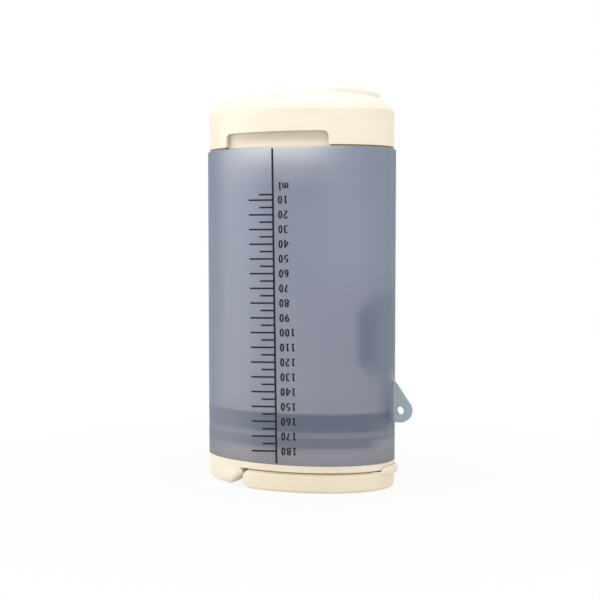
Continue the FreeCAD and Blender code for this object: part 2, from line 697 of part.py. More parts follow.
def make_liner():
    """Inner plate of the lid, with the gasket's groove and a ring that centres it in the mouth."""
    gap = s.lid_wall + s.press_gap
    reach = s.tank_width
    plate = common("liner_plate", oval_prism("liner_oval", *inside(LID, gap), LINER_BOTTOM, s.lid_height),
                   block("liner_limit", (SLOT_X + gap, -reach, 0), (reach, reach, s.lid_height)))
    groove = cut("liner_groove", post("liner_groove_outside", s.mouth_offset, 0, GASKET_BORE + s.gasket_width,
                                      s.lid_height - s.gasket_sink, s.lid_height + 1),
                 post("liner_groove_core", s.mouth_offset, 0, GASKET_BORE, 0, s.lid_height + 2))
    ring_top = s.lid_height + s.plug_height
    ring = post("liner_ring", s.mouth_offset, 0, PLUG_RING_RADIUS, LINER_BOTTOM, ring_top)
    bore = post("liner_ring_bore", s.mouth_offset, 0, PLUG_RING_RADIUS - s.plug_wall, s.lid_height, ring_top + 1)
    return cut("lid_liner", fuse("liner_body", plate, ring), groove, bore)


def make_gasket():
    """Flat elastic ring that meets the collar around the mouth."""
    body = new_body("lid_gasket", (s.mouth_offset, 0, s.lid_height))
    outside = GASKET_BORE + s.gasket_width
    turned(body, "gasket_shape", [(GASKET_BORE, -s.gasket_sink), (outside, -s.gasket_sink),
                                  (outside, s.seam_gap), (GASKET_BORE, s.seam_gap)])
    return body


# ---------------------------------------------------------------- non-return valve

def make_valve_seat():
    """Ring above the mouth on which the flap closes, with two lugs for the flap's pin."""
    ring = new_body("seat_ring", (s.mouth_offset, 0, TANK_BOTTOM))
    turned(ring, "seat_ring_shape", [(SEAT_BORE, 0), (SEAT_RADIUS, 0),
                                     (SEAT_RADIUS, s.seat_height), (SEAT_BORE, s.seat_height)])
    parts = [ring]
    inner = s.flap_knuckle_width / 2 + SIDE_GAP
    outer = inner + s.flap_lug_width
    low = TANK_BOTTOM + s.socket_height + SIDE_GAP
    for side, (y_from, y_to) in (("left", (inner, outer)), ("right", (-outer, -inner))):
        foot = block(f"lug_foot_{side}", (FLAP_X - KNUCKLE_RADIUS / 2, y_from, low),
                     (s.mouth_offset - SEAT_BORE, y_to, SEAT_TOP))
        eye = rod(f"lug_eye_{side}", FLAP_X, FLAP_Z, KNUCKLE_RADIUS, y_from, y_to)
        parts += [foot, eye]
    hole = rod("lug_pin_hole", FLAP_X, FLAP_Z, s.flap_pin_radius, -outer - 1, outer + 1)
    return cut("valve_seat", fuse("seat_body", *parts), hole)


def make_flap():
    """Soft disc that lies on the valve seat, with a knuckle that turns on the pin."""
    radius = SEAT_BORE + s.flap_overlap
    half = s.flap_knuckle_width / 2
    top = SEAT_TOP + s.flap_thickness
    body = new_body("flap_disc", (s.mouth_offset, 0, SEAT_TOP))
    sketch = sketch_on(body, "flap_outline", "XY_Plane")
    draw_circle(sketch, 0, 0, radius)
    padded(body, "flap_pad", sketch, s.flap_thickness)
    tongue = block("flap_tongue", (FLAP_X, -half, SEAT_TOP), (s.mouth_offset - SEAT_BORE, half, top))
    knuckle = rod("flap_knuckle", FLAP_X, FLAP_Z, KNUCKLE_RADIUS, -half, half)
    hole = rod("flap_pin_hole", FLAP_X, FLAP_Z, s.flap_pin_radius + PIN_FIT, -half - 1, half + 1)
    return cut("non_return_flap", fuse("flap_body", body, tongue, knuckle), hole)


def make_flap_pin():
    """Pin through the seat's lugs and the flap's knuckle."""
    half = s.flap_knuckle_width / 2 + SIDE_GAP + s.flap_lug_width
    body = new_body("flap_pin", (FLAP_X, 0, FLAP_Z))
    sketch = sketch_on(body, "flap_pin_outline", "XZ_Plane", -half)
    draw_circle(sketch, 0, 0, s.flap_pin_radius)
    padded(body, "flap_pin_pad", sketch, half * 2)
    return body


# ---------------------------------------------------------------- base cap and plug

def dome_level(share):
    """Height of the dome above its shoulder at a share of its half widths."""
    return s.dome_rise * (1 - formula(share) ** s.dome_power) + s.dome_crown * (1 - share ** 2)


def domed(name, outline, lift, bottom):
    """An oval solid under the dome, which is moved up or down by lift."""
    sections = [(outline[0] * share, outline[1] * share, CAP_SHOULDER + lift + dome_level(share))
                for share in DOME_STATIONS]
    return fuse(name, oval_prism(f"{name}_side", *outline, bottom, CAP_SHOULDER + lift),
                oval_loft(f"{name}_top", sections))


def pill(name, margin, bottom, top):
    """An upright solid with the button's round-ended outline, grown by a margin."""
    half = s.button_width / 2 + margin
    run = (s.button_length - s.button_width) / 2
    middle = BUTTON_X - s.button_lead
    left = middle - run
    right = middle + run
    return fuse(name, block(f"{name}_middle", (left, -half, bottom), (right, half, top)),
                post(f"{name}_left", left, 0, half, bottom, top),
                post(f"{name}_right", right, 0, half, bottom, top))


def make_cap():
    """Domed shell with a finger notch in each long side and a hole for the button."""
    outside = domed("cap_outside", CAP, formula(0), CAP_BOTTOM)
    hollow = domed("cap_hollow", inside(CAP, s.cap_wall), -s.roof_wall, CAP_BOTTOM - 1)
    reach = s.tank_depth
    notch = rounded_bar("cap_notch", (NOTCH_LEFT, -reach, CAP_BOTTOM - OVERSHOOT),
                        (NOTCH_RIGHT, reach, CAP_BOTTOM + s.notch_height), s.notch_corner, "Y")
    hole = pill("cap_button_hole", s.button_gap, CAP_SHOULDER, CAP_SHOULDER + s.cap_skirt)
    snap = snap_rib("cap_snap", TANK_TOP + s.snap_level)
    return cut("base_cap", outside, hollow, notch, hole, snap)


def snap_rib(name, level):
    """Band around the plug's wall that holds it in the cap."""
    return cut(name, oval_prism(f"{name}_outside", *inside(PLUG, -s.snap_depth), level, level + s.snap_height),
               oval_prism(f"{name}_inside", *inside(PLUG, s.neck_wall / 2), level - 1, level + s.snap_height + 1))


def make_plug():
    """Cup that closes the base end of the tank, snapped into the cap."""
    top = TANK_TOP + s.neck_rise
    reach = s.tank_width
    outside = oval_prism("plug_outside", *PLUG, DECK_BOTTOM, top)
    flange_ring = oval_prism("plug_flange_oval", *inside(TANK_BORE_TOP, -s.rim_seat), TANK_TOP, CAP_BOTTOM)
    gap = block("plug_flange_gap", (NOTCH_LEFT - 1, -reach, DECK_TOP), (NOTCH_RIGHT + 1, reach, top))
    flange = cut("plug_flange", flange_ring, gap)
    cup = post("plug_spring_cup", BUTTON_X, 0, s.spring_radius + s.spring_wire * 2 + 1,
               DECK_BOTTOM, DECK_TOP + s.spring_cup_height)
    body = fuse("plug_body", outside, flange, snap_rib("plug_snap", TANK_TOP + s.snap_level))
    bore = oval_prism("plug_bore", *inside(PLUG, s.neck_wall), DECK_TOP, top + 1)
    shell = fuse("plug_shell", cut("plug_hollow", body, bore), cup)
    cup_bore = post("plug_cup_bore", BUTTON_X, 0, s.spring_radius + s.spring_wire * 2,
                    DECK_TOP, DECK_TOP + s.spring_cup_height + 1)
    vent = post("plug_vent", BUTTON_X, 0, s.vent_radius, DECK_BOTTOM - 1, DECK_TOP + 1)
    groove_low = DECK_BOTTOM + s.ring_level
    groove_high = groove_low + s.ring_height
    groove = cut("plug_groove", oval_prism("plug_groove_outside", *inside(PLUG, -1), groove_low, groove_high),
                 oval_prism("plug_groove_floor", *inside(PLUG, s.ring_depth), groove_low - 1, groove_high + 1))
    return cut("base_plug", shell, cup_bore, vent, groove)


def make_base_seal():
    """Elastic oval ring in the plug's groove."""
    low = DECK_BOTTOM + s.ring_level
    high = low + s.ring_height
    lean = s.tank_draft * (s.plug_depth - s.ring_level) / s.tank_length
    outside = oval_prism("ring_outside", *inside(TANK_BORE_TOP, s.ring_clearance + lean), low, high)
    bore = oval_prism("ring_bore", *inside(PLUG, s.ring_depth), low - 1, high + 1)
    return cut("base_seal", outside, bore)


# ---------------------------------------------------------------- air valve

def make_button():
    """Raised button in the dome: a cup with a flange that keeps it under the cap."""
    top = CAP_SHOULDER + s.cap_skirt
    roof = inside(CAP, s.cap_wall)
    face = domed("button_face", CAP, s.button_rise, CAP_BOTTOM)
    body = common("button_body", pill("button_pill", formula(0), BUTTON_BOTTOM, top), face)
    under = domed("button_under", CAP, s.button_rise - s.button_wall * 2, CAP_BOTTOM)
    hollow = common("button_hollow", pill("button_hollow_pill", -s.button_wall, BUTTON_BOTTOM - 1, top), under)
    flange_top = domed("flange_top", roof, -s.roof_wall - SIDE_GAP, CAP_BOTTOM)
    flange_under = domed("flange_under", roof, -s.roof_wall - SIDE_GAP - s.button_wall, CAP_BOTTOM - 1)
    wide = pill("flange_pill", s.flange_reach, BUTTON_BOTTOM, top)
    flange = cut("button_flange", common("flange_body", wide, flange_top), flange_under,
                 pill("flange_bore", -s.button_wall / 2, BUTTON_BOTTOM - 1, top))
    socket = common("button_socket", post("button_socket_post", BUTTON_X, 0,
                                          s.stem_radius + s.stem_socket_wall, BUTTON_BOTTOM, top), face)
    bore = post("button_stem_bore", BUTTON_X, 0, s.stem_radius, BUTTON_BOTTOM - 1,
                BUTTON_BOTTOM + s.stem_socket_depth)
    return cut("vent_button", fuse("button_shell", cut("button_cup", body, hollow), flange, socket), bore)


def make_stem():
    """Stem from the button's socket down through the deck, with the valve disc at its end."""
    body = new_body("vent_stem", (BUTTON_X, 0, VALVE_TOP))
    length = BUTTON_BOTTOM + s.stem_socket_depth - VALVE_TOP
    turned(body, "stem_shape", [(0, -s.valve_thickness), (s.valve_radius, -s.valve_thickness),
                                (s.valve_radius, 0), (s.stem_radius, 0), (s.stem_radius, length), (0, length)])
    return body


def make_washer():
    """Soft ring on the valve disc that closes the air hole from the wet side."""
    body = new_body("vent_seal", (BUTTON_X, 0, VALVE_TOP))
    turned(body, "washer_shape", [(s.stem_radius, 0), (s.washer_radius, 0),
                                  (s.washer_radius, s.washer_thickness), (s.stem_radius, s.washer_thickness)])
    return body


def make_spring():
    """Coil spring between the deck and the button's socket."""
    wire = float(s.spring_wire)
    radius = float(s.spring_radius)
    low = float(DECK_TOP) + wire
    height = float(BUTTON_BOTTOM) - wire - low
    helix = Part.makeLongHelix(height / float(s.spring_turns), height, radius)
    ring = Part.Wire(Part.makeCircle(wire, FreeCAD.Vector(radius, 0, 0), AXIS_Y))
    item = doc.addObject("Part::Feature", "vent_spring")
    item.Shape = Part.Wire(helix.Edges).makePipeShell([ring], True, True)
    item.Placement = FreeCAD.Placement(FreeCAD.Vector(float(BUTTON_X), 0, low), FreeCAD.Rotation())
    return item


# ---------------------------------------------------------------- build, check and write

def build():
    """Make every piece and return them by name."""
    makers = (make_tank, make_collar, make_collar_seal, make_hinge_block, make_screws, make_hinge_pin,
              make_lid, make_liner, make_gasket, make_valve_seat, make_flap, make_flap_pin,
              make_cap, make_plug, make_base_seal, make_button, make_stem, make_washer, make_spring)
    pieces = [maker() for maker in makers]
    doc.recompute()
    return pieces


def check(pieces):
    """Stop if any object failed or any piece has no sound shape."""
    for item in doc.Objects:
        if {"Invalid", "Error"} & set(item.State):
            raise ValueError(f"{item.Name}: {item.State}")
    for piece in pieces:
        shape = piece.Shape
        expected = 2 if piece.Label == "hinge_block_screws" else 1
        if shape.isNull() or not shape.isValid() or len(shape.Solids) != expected or shape.Volume <= 0:
            raise ValueError(f"{piece.Label}: {len(shape.Solids)} solids, valid {shape.isValid()}")


def write(pieces):
    """Write each piece to a STEP file named after it."""
    os.makedirs("parts", exist_ok=True)
    for piece in pieces:
        piece.Shape.exportStep(os.path.join("parts", f"{piece.Label}.step"))
        box = piece.Shape.optimalBoundingBox(False)
        print(f"{piece.Label}: {piece.Shape.Volume:.1f} mm3, X {box.XMin:.2f} to {box.XMax:.2f},"
              f" Y {box.YMin:.2f} to {box.YMax:.2f}, Z {box.ZMin:.2f} to {box.ZMax:.2f}")


PIECES = build()
check(PIECES)
write(PIECES)
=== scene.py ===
import json
import math

import bpy
import numpy as np
from bpy.props import FloatProperty, FloatVectorProperty, IntProperty, PointerProperty
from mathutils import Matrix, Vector


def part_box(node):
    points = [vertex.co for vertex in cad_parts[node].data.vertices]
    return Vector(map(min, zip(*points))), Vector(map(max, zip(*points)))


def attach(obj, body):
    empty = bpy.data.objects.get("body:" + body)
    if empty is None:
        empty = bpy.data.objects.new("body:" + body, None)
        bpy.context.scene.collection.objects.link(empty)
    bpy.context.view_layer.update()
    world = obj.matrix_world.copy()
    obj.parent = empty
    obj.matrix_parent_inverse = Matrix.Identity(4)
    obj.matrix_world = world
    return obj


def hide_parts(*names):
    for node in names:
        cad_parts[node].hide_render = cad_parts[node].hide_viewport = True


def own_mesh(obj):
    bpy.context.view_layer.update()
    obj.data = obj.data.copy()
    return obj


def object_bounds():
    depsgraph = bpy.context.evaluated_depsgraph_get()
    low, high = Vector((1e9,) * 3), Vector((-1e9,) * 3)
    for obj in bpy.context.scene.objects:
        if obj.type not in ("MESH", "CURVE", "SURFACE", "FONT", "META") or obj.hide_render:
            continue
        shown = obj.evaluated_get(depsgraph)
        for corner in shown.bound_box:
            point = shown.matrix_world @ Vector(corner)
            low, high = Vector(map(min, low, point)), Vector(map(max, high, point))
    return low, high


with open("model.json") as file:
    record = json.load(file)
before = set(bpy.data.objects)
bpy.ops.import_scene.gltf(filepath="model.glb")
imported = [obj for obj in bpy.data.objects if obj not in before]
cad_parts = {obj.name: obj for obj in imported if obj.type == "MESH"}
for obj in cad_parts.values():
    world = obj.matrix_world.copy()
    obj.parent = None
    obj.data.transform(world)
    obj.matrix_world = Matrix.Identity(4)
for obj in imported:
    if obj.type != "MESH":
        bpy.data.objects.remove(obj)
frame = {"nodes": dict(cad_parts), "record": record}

bl_info = {
    "name": "Graduated oval bottle",
    "version": (1, 0, 0),
    "blender": (4, 5, 0),
    "location": "3D View > Sidebar > Bottle",
    "description": "Finishes the parts of a graduated oval bottle, prints its scale and sets its stage",
    "category": "Object",
}

MM = 0.001
WHITE = (1.0, 1.0, 1.0, 1.0)
BLACK = (0.0, 0.0, 0.0, 1.0)
CAD_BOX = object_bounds()
TANK_LOW, TANK_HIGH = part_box("tank")
TANK_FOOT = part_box("mouth_collar")[1]

# Heights over the tank's lower end.
SEAL_LOW, SEAL_HIGH = (corner.z - TANK_LOW.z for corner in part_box("collar_seal"))
SEAL_GROOVE = 10.2 * MM
EAR_ROOT = 22 * MM
WINDOW_LEVEL = 42.7 * MM

WINDOW_HALF = Vector((13.8, 15.0)) * MM
WINDOW_CORNER = 9 * MM
NOTCH_X = -0.95 * MM
NOTCH_HALF = 18.85 * MM


# ---------------------------------------------------------------- shader maths

class Signal:
    """An output socket that can be used in sums: each operator adds its Math node."""

    def __init__(self, finish, socket):
        self.finish = finish
        self.socket = socket

    def math(self, operation, *others):
        values = [self, *others]
        node = self.finish.add("ShaderNodeMath", {"operation": operation}, dict(enumerate(values)))
        return self.finish.out(node)

    def swapped(self, operation, first):
        node = self.finish.add("ShaderNodeMath", {"operation": operation}, {0: first, 1: self})
        return self.finish.out(node)

    def __add__(self, other):
        return self.math("ADD", other)

    def __radd__(self, other):
        return self.math("ADD", other)

    def __sub__(self, other):
        return self.math("SUBTRACT", other)

    def __rsub__(self, other):
        return self.swapped("SUBTRACT", other)

    def __mul__(self, other):
        return self.math("MULTIPLY", other)

    def __rmul__(self, other):
        return self.math("MULTIPLY", other)

    def __pow__(self, other):
        return self.math("POWER", other)

    def size(self):
        return self.math("ABSOLUTE")

    def ramp(self, start, end, low=0.0, high=1.0):
        """Rises smoothly from low at start to high at end, and stays level outside."""
        return self.finish.out(self.finish.add(
            "ShaderNodeMapRange", {"interpolation_type": "SMOOTHSTEP"},
            {"Value": self, "From Min": start, "From Max": end, "To Min": low, "To Max": high}))

    def near(self, middle, full, faint):
        """1 up to the full distance from the middle, falling smoothly to 0 at the faint distance."""
        return (self - middle).size().ramp(faint, full)


class Finish:
    """The nodes that a material, or the room's light, is made of."""

    def __init__(self, owner):
        owner.use_nodes = True
        self.owner = owner
        self.tree = owner.node_tree
        self.tree.nodes.clear()

    def add(self, kind, settings=None, sockets=None):
        """Adds a node: its settings first, then the values or links of its sockets."""
        node = self.tree.nodes.new(kind)
        for name, value in (settings or {}).items():
            setattr(node, name, value)
        for name, value in (sockets or {}).items():
            if isinstance(value, Signal):
                self.tree.links.new(value.socket, node.inputs[name])
            else:
                node.inputs[name].default_value = value
        return node

    def out(self, node, name=0):
        return Signal(self, node.outputs[name])

    def place(self):
        """Object coordinates, which are the part's own frame in metres."""
        return self.out(self.add("ShaderNodeTexCoord"), "Object")

    def axes(self, place):
        node = self.add("ShaderNodeSeparateXYZ", None, {"Vector": place})
        return [self.out(node, name) for name in "XYZ"]

    def stretched(self, place, stretch):
        node = self.add("ShaderNodeVectorMath", {"operation": "MULTIPLY"}, {0: place, 1: stretch})
        return self.out(node)

    def noise(self, place, grain, detail=2.0, roughness=0.5):
        """Noise from 0 to 1 whose lumps are about one grain across."""
        node = self.add("ShaderNodeTexNoise", None,
                        {"Vector": place, "Scale": 1 / grain, "Detail": detail, "Roughness": roughness})
        return self.out(node, "Fac")

    def blend(self, share, first, second):
        """The first colour where share is 0 and the second where it is 1."""
        node = self.add("ShaderNodeMix", {"data_type": "RGBA"}, {0: share, 6: first, 7: second})
        return self.out(node, 2)

    def tinted(self, share, first, tint):
        """The first colour, multiplied by the tint where share is 1."""
        node = self.add("ShaderNodeMix", {"data_type": "RGBA", "blend_type": "MULTIPLY"},
                        {0: share, 6: first, 7: tint})
        return self.out(node, 2)

    def bump(self, height, depth):
        """A normal from a height of 0 to 1, over a real depth in metres."""
        node = self.add("ShaderNodeBump", None, {"Height": height, "Strength": 1.0, "Distance": depth})
        return self.out(node)

    def facing(self):
        """0 where the surface faces the eye and 1 where it is seen edge on."""
        return self.out(self.add("ShaderNodeLayerWeight", None, {"Blend": 0.5}), "Facing")

    def plastic(self, sockets):
        return self.out(self.add("ShaderNodeBsdfPrincipled", None, sockets))

    def done(self, **ends):
        self.add("ShaderNodeOutputMaterial", None, ends)
        return self.owner


def new_finish(name):
    return Finish(bpy.data.materials.new(name))


def rgba(colour, share=1.0):
    """A colour times a share, with full opacity."""
    return (*(part * share for part in colour), 1.0)


def dress(material, *nodes):
    """Gives the material to all slots of these CAD nodes."""
    for name in nodes:
        for slot in frame["nodes"][name].material_slots:
            slot.material = material


# ---------------------------------------------------------------- sizes and colours

def colour_value(name, description, default):
    return FloatVectorProperty(name=name, description=description, subtype="COLOR", default=default,
                               min=0, max=1)


def share_value(name, description, default):
    return FloatProperty(name=name, description=description, subtype="FACTOR", default=default, min=0, max=1)


def length_value(name, description, default):
    return FloatProperty(name=name, description=description, subtype="DISTANCE", unit="LENGTH",
                         default=default, precision=4)


class TankFinish(bpy.types.PropertyGroup):
    colour: colour_value("Tank colour", "Smoky blue of the tank's plastic", (0.49, 0.525, 0.655))
    depth_colour: colour_value("Depth colour", "What thick plastic lets through", (0.30, 0.45, 0.51))
    density: FloatProperty(name="Density", description="How fast light is lost in the plastic, per metre",
                           default=230.0, min=0)
    clarity: share_value("Clarity", "Share of the light that passes the wall", 0.62)
    satin: share_value("Satin", "Roughness of the tank's faces", 0.36)
    low_colour: colour_value("Low colour", "Tank colour at the lid's end", (0.545, 0.55, 0.64))
    # Painted light: a pool of light on the plastic below the cap's notch.
    notch_light: share_value("Light leak", "Paleness of the plastic below the cap's notch", 0.55)
    # Painted light: the tank's top below the notch emits, though it is no lamp.
    glow: colour_value("Rim glow", "Light that the plastic carries down from its rim", (0.13, 0.115, 0.095))
    # Painted highlight: low on the front's hinge side and in a narrow band at the foot near the ear.
    painted_highlight: share_value("Side paleness", "Paleness of the front's hinge side, low down", 0.14)
    # Over the seal: the seal's own dark colour seen through, and painted shade.
    seal_tone: colour_value("Seal tone", "What the tank keeps of its colour on the seal",
                            (0.47, 0.54, 0.63))
    # The thin window's blue and its darkness are painted shade.
    window_shade_colour: colour_value("Window colour", "Deep blue of the thin window", (0.165, 0.235, 0.325))
    window_shade: share_value("Window shade", "Darkness of the thin window beside the ear", 0.61)
    # Painted shade: a bluer, darker end at the hinge.
    hinge_end_shade: colour_value("Edge tone", "What the tank keeps of its colour at the hinge end",
                            (0.84, 0.975, 1.0))
    # Painted shade round the window.
    far_shade_tone: colour_value("Far tone", "What the tank keeps of its colour around the window",
                           (0.90, 0.90, 0.93))
    # Painted shade at the ear's end, away from the ear.
    ear_end_shade: colour_value("End tone", "What the tank keeps of its colour at the ear's end",
                           (0.84, 0.95, 0.92))
    # Painted shade on the wall beside the ear.
    ear_shade: colour_value("Ear shade", "What the tank keeps of its colour beside the ear",
                            (0.80, 0.86, 0.92))
    ear_tone: colour_value("Ear tone", "What the strap ear keeps of the tank's colour", (0.88, 1.0, 0.91))
    foot_tone: colour_value("Foot tone", "What the tank's foot keeps of its colour", (1.0, 0.93, 0.91))


class WhiteFinish(bpy.types.PropertyGroup):
    outer: colour_value("Outer white", "Warm white of the cap, collar, block and lid", (0.93, 0.832, 0.66))
    # Painted highlight: the cap's dome and its button paler, as lit from above.
    crown_highlight: colour_value("Crown white", "Paler white of the cap's dome and its button", (0.93, 0.87, 0.76))
    # Painted shade: the collar and lid darker away from the hinge.
    low_shade: colour_value("Low tone", "What the collar and lid keep of the outer white",
                           (0.89, 0.87, 0.84))
    inner: colour_value("Inner white", "Duller white of the parts inside", (0.78, 0.74, 0.66))
    # Painted light: the plug paler inside the tank, which brightens the tank's top seen through its wall.
    plug: colour_value("Plug white", "White of the base plug inside the tank", (0.97, 0.97, 0.97))
    neck: colour_value("Neck white", "White of the base plug at the foot of its neck", (0.98, 0.87, 0.69))
    # Painted shadow in the narrow seam beside the notch.
    seam_shade: colour_value("Seam tone", "What the plug keeps of its neck white in the seam",
                            (0.42, 0.34, 0.28))
    neck_shade: share_value("Neck shade", "Darkness of the neck under the notch's ceiling", 0.36)
    satin: share_value("Satin", "Roughness of the white plastic", 0.34)


class SoftFinish(bpy.types.PropertyGroup):
    dark: colour_value("Dark seal", "Dark grey of the collar's seal", (0.20, 0.22, 0.27))
    pale: colour_value("Silicone", "Off-white of the flap and the small seals", (0.70, 0.69, 0.64))


class MetalFinish(bpy.types.PropertyGroup):
    steel: colour_value("Steel", "Colour of the pins, screws and spring", (0.62, 0.62, 0.63))
    wire: length_value("Wire", "Radius of the vent spring's wire", 0.25 * MM)
    turns: FloatProperty(name="Turns", description="Turns of the vent spring", default=7.0, min=1)


class ScalePrint(bpy.types.PropertyGroup):
    ink: colour_value("Ink", "Colour of the printed scale", (0.012, 0.012, 0.014))
    line_x: length_value("Line place", "X of the upright line's foot", 0.94 * MM)
    lean: FloatProperty(name="Lean", description="Turn of the whole print against the tank's axis",
                        subtype="ANGLE", unit="ROTATION", default=0.0133)
    line_width: length_value("Line width", "Width of the upright line", 0.7 * MM)
    tick_width: length_value("Tick width", "Height of a tick's stroke", 0.56 * MM)
    long_tick: length_value("Long tick", "Length of the 10 ml ticks", 9.25 * MM)
    short_tick: length_value("Short tick", "Length of the 5 ml ticks", 5.15 * MM)
    tick_fan: FloatProperty(name="Tick fan", description="How much a tick's tilt grows per metre of height",
                            default=0.82)
    fan_level: length_value("Fan level", "Height at which a tick is square to the line", 66.4 * MM)
    tens: IntProperty(name="Tens", description="How many 10 ml steps are printed", default=18, min=1)
    first_level: length_value("First level", "Height of the 10 ml tick over the tank's foot", 87.9 * MM)
    first_step: length_value("First step", "From the 10 ml tick to the 20 ml tick", 4.834 * MM)
    step_growth: length_value("Step growth", "How much longer each 10 ml step is than the last",
                              0.0082 * MM)
    five_rise: length_value("5 ml rise", "From the 10 ml tick to the 5 ml tick", 1.8 * MM)
    digit_height: length_value("Digit height", "Height of a digit", 2.55 * MM)
    digit_pitch: length_value("Digit pitch", "From one digit to the next", 1.89 * MM)
    digit_gap: length_value("Digit gap", "From the line to the nearest digit", 1.42 * MM)
    unit_rise: length_value("Unit rise", "From the 10 ml tick to the middle of the unit", 4.4 * MM)


class StageSet(bpy.types.PropertyGroup):
    ambient: FloatProperty(name="Room light", description="Strength of the even light all round",
                           default=0.74, min=0)
    key: FloatProperty(name="Key light", description="Power of the large lamp on the left in front",
                       unit="POWER", default=4.4, min=0)
    fill: FloatProperty(name="Fill light", description="Power of the large lamp on the right",
                        unit="POWER", default=3.0, min=0)
    top: FloatProperty(name="Top light", description="Power of the lamp overhead",
                       unit="POWER", default=2.8, min=0)
    floor: colour_value("Floor", "Colour of the floor", (0.78, 0.78, 0.78))
    azimuth: FloatProperty(name="Azimuth", description="Turn of the camera round the bottle",
                           subtype="ANGLE", unit="ROTATION", default=0.4057)
    tilt: FloatProperty(name="Tilt", description="How far the camera looks down", subtype="ANGLE",
                        unit="ROTATION", default=0.0516)
    distance: length_value("Distance", "From the bottle's axis to the camera", 419.2 * MM)
    height: length_value("Height", "Height of the camera over the floor", 84.7 * MM)
    side: length_value("Sideways", "How far the camera stands to its own right", -0.15 * MM)
    lens: FloatProperty(name="Lens", description="Focal length in millimetres", default=72.4, min=1)


# ---------------------------------------------------------------- finishes

def window_shade_mask(x, y, rise):
    """Painted shade on the thin window beside the ear: paler in its middle, fading out at its foot and in
    part at its top.

    Its rim is where the distance outside a smaller rectangle reaches the corners' radius.
    """
    up = rise - WINDOW_LEVEL
    beyond_y = (y.size() - (WINDOW_HALF.x - WINDOW_CORNER)).math("MAXIMUM", 0.0)
    beyond_up = (up.size() - (WINDOW_HALF.y - WINDOW_CORNER)).math("MAXIMUM", 0.0)
    inward = WINDOW_CORNER - (beyond_y ** 2 + beyond_up ** 2) ** 0.5
    form = inward.ramp(-1.4 * MM, 1.0 * MM) * inward.ramp(2 * MM, 8 * MM, 1.0, 0.5) * x.ramp(0.0, 10 * MM)
    return form * up.ramp(-17 * MM, -6 * MM) * up.ramp(14 * MM, 6 * MM, 0.4, 1.0)


def seal_and_shade_mask(x, beyond_end, rise):
    """Where the seal presses on the wall: the seal seen through plus painted shade, weaker at its foot;
    painted highlights weaken it along its groove and at both ends.
    """
    level = (rise.ramp(SEAL_HIGH + 0.6 * MM, SEAL_HIGH - 0.6 * MM)
             * rise.ramp(SEAL_LOW - 0.6 * MM, SEAL_LOW + 1.6 * MM)
             * rise.ramp(9 * MM, 12 * MM, 0.8, 1.0))
    groove = rise.near(SEAL_GROOVE, 0.3 * MM, 1.5 * MM)
    return (level * (1 - groove * 0.6) * x.ramp(-32 * MM, 4 * MM, 0.45, 1.0)
            * beyond_end.ramp(-6 * MM, -0.5 * MM, 1.0, 0.75) * beyond_end.ramp(0.5 * MM, -0.5 * MM))


def ear_tones(finish, values, tone, y, beyond_end, rise):
    """Paints shade on the wall beside the ear and at its end elsewhere, and gives the ear a pale root and its
    own tone.

    beyond_end is how far a point lies beyond the wall at the ear's end.
    """
    by_ear = rise.near(EAR_ROOT, 6 * MM, 11 * MM)
    beside = beyond_end.ramp(-3.2 * MM, -1.2 * MM) * beyond_end.ramp(-0.1 * MM, -0.6 * MM)
    root = beyond_end.ramp(-0.3 * MM, 0.0) * beyond_end.ramp(1.2 * MM, 0.6 * MM)
    # Painted shade beside the ear, and at the ear's end elsewhere.
    tone = finish.tinted(by_ear * beside * y.ramp(0.0, -3 * MM), tone, rgba(values.ear_shade))
    tone = finish.tinted((1 - by_ear) * beyond_end.ramp(-1.6 * MM, -0.4 * MM), tone, rgba(values.ear_end_shade))
    tone = finish.blend(by_ear * root * 0.4, tone, WHITE)
    return finish.tinted(beyond_end.ramp(0.2 * MM, 1.5 * MM), tone, rgba(values.ear_tone))


